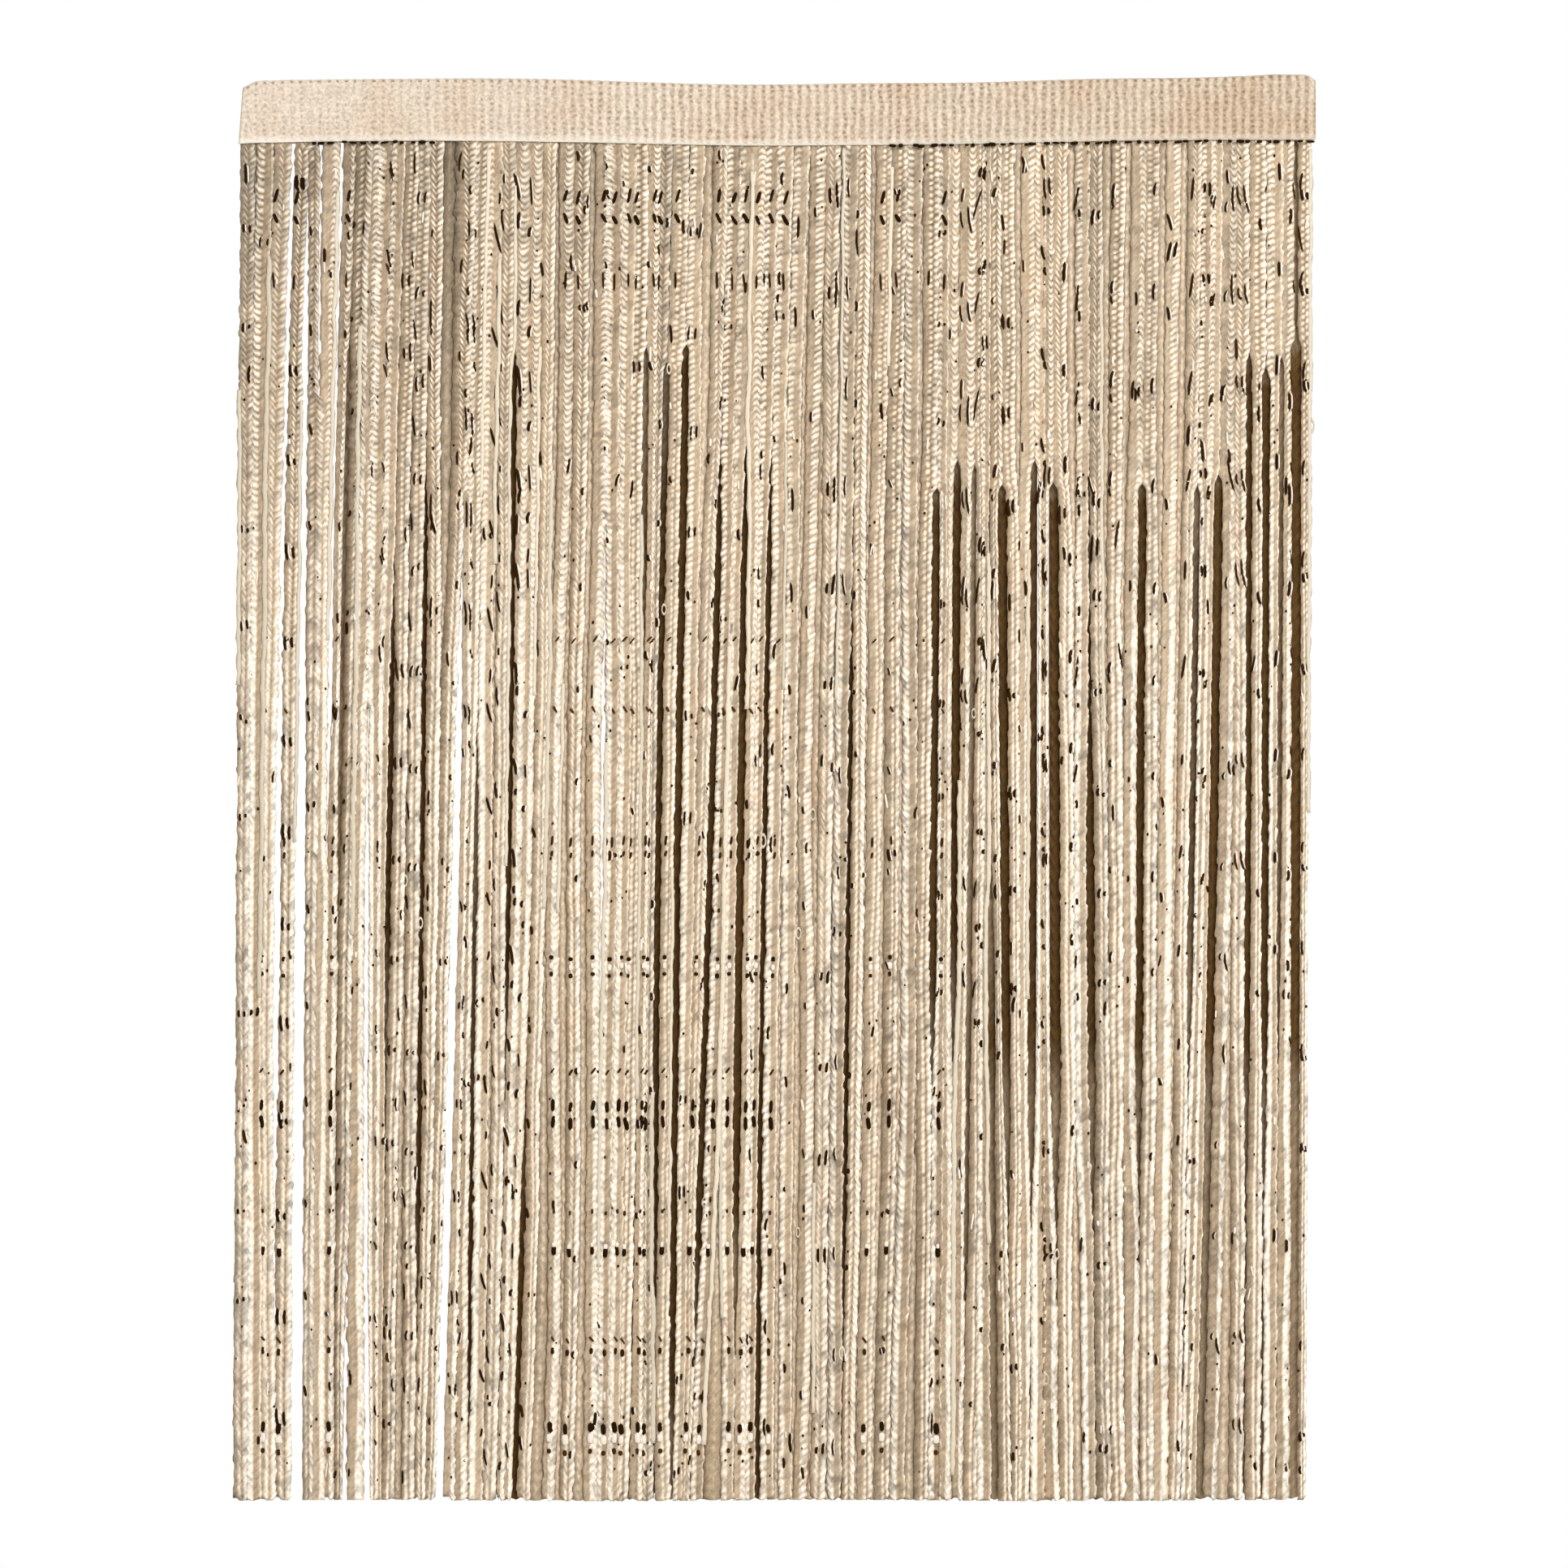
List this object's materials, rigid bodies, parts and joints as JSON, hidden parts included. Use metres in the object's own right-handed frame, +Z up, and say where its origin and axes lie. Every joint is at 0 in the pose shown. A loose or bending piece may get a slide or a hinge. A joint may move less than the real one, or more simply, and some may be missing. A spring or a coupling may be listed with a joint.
{
  "type": "string curtain",
  "caption": "Flat hanging string curtain: dense knitted cords in three rows under a knitted heading folded into a rod sleeve.",
  "frame": {"origin": "middle of the fold along the heading's top edge, where a rod or rail holds it", "axes": "+Z up along the drop; +X along the heading, to the right as seen from the front; the front faces -Y"},
  "size_m": [0.9081, 0.0161, 1.1969],
  "materials": {
    "heading_knit": "matte knit",
    "cream_cord": "matte chain knit with short glints",
    "tan_cord": "matte knit",
    "brown_cord": "matte"
  },
  "bodies": {
    "root": {"heading": "heading_knit", "strings_front": "cream_cord", "strings_middle": "tan_cord", "strings_back": "brown_cord"}
  },
  "joints": []
}
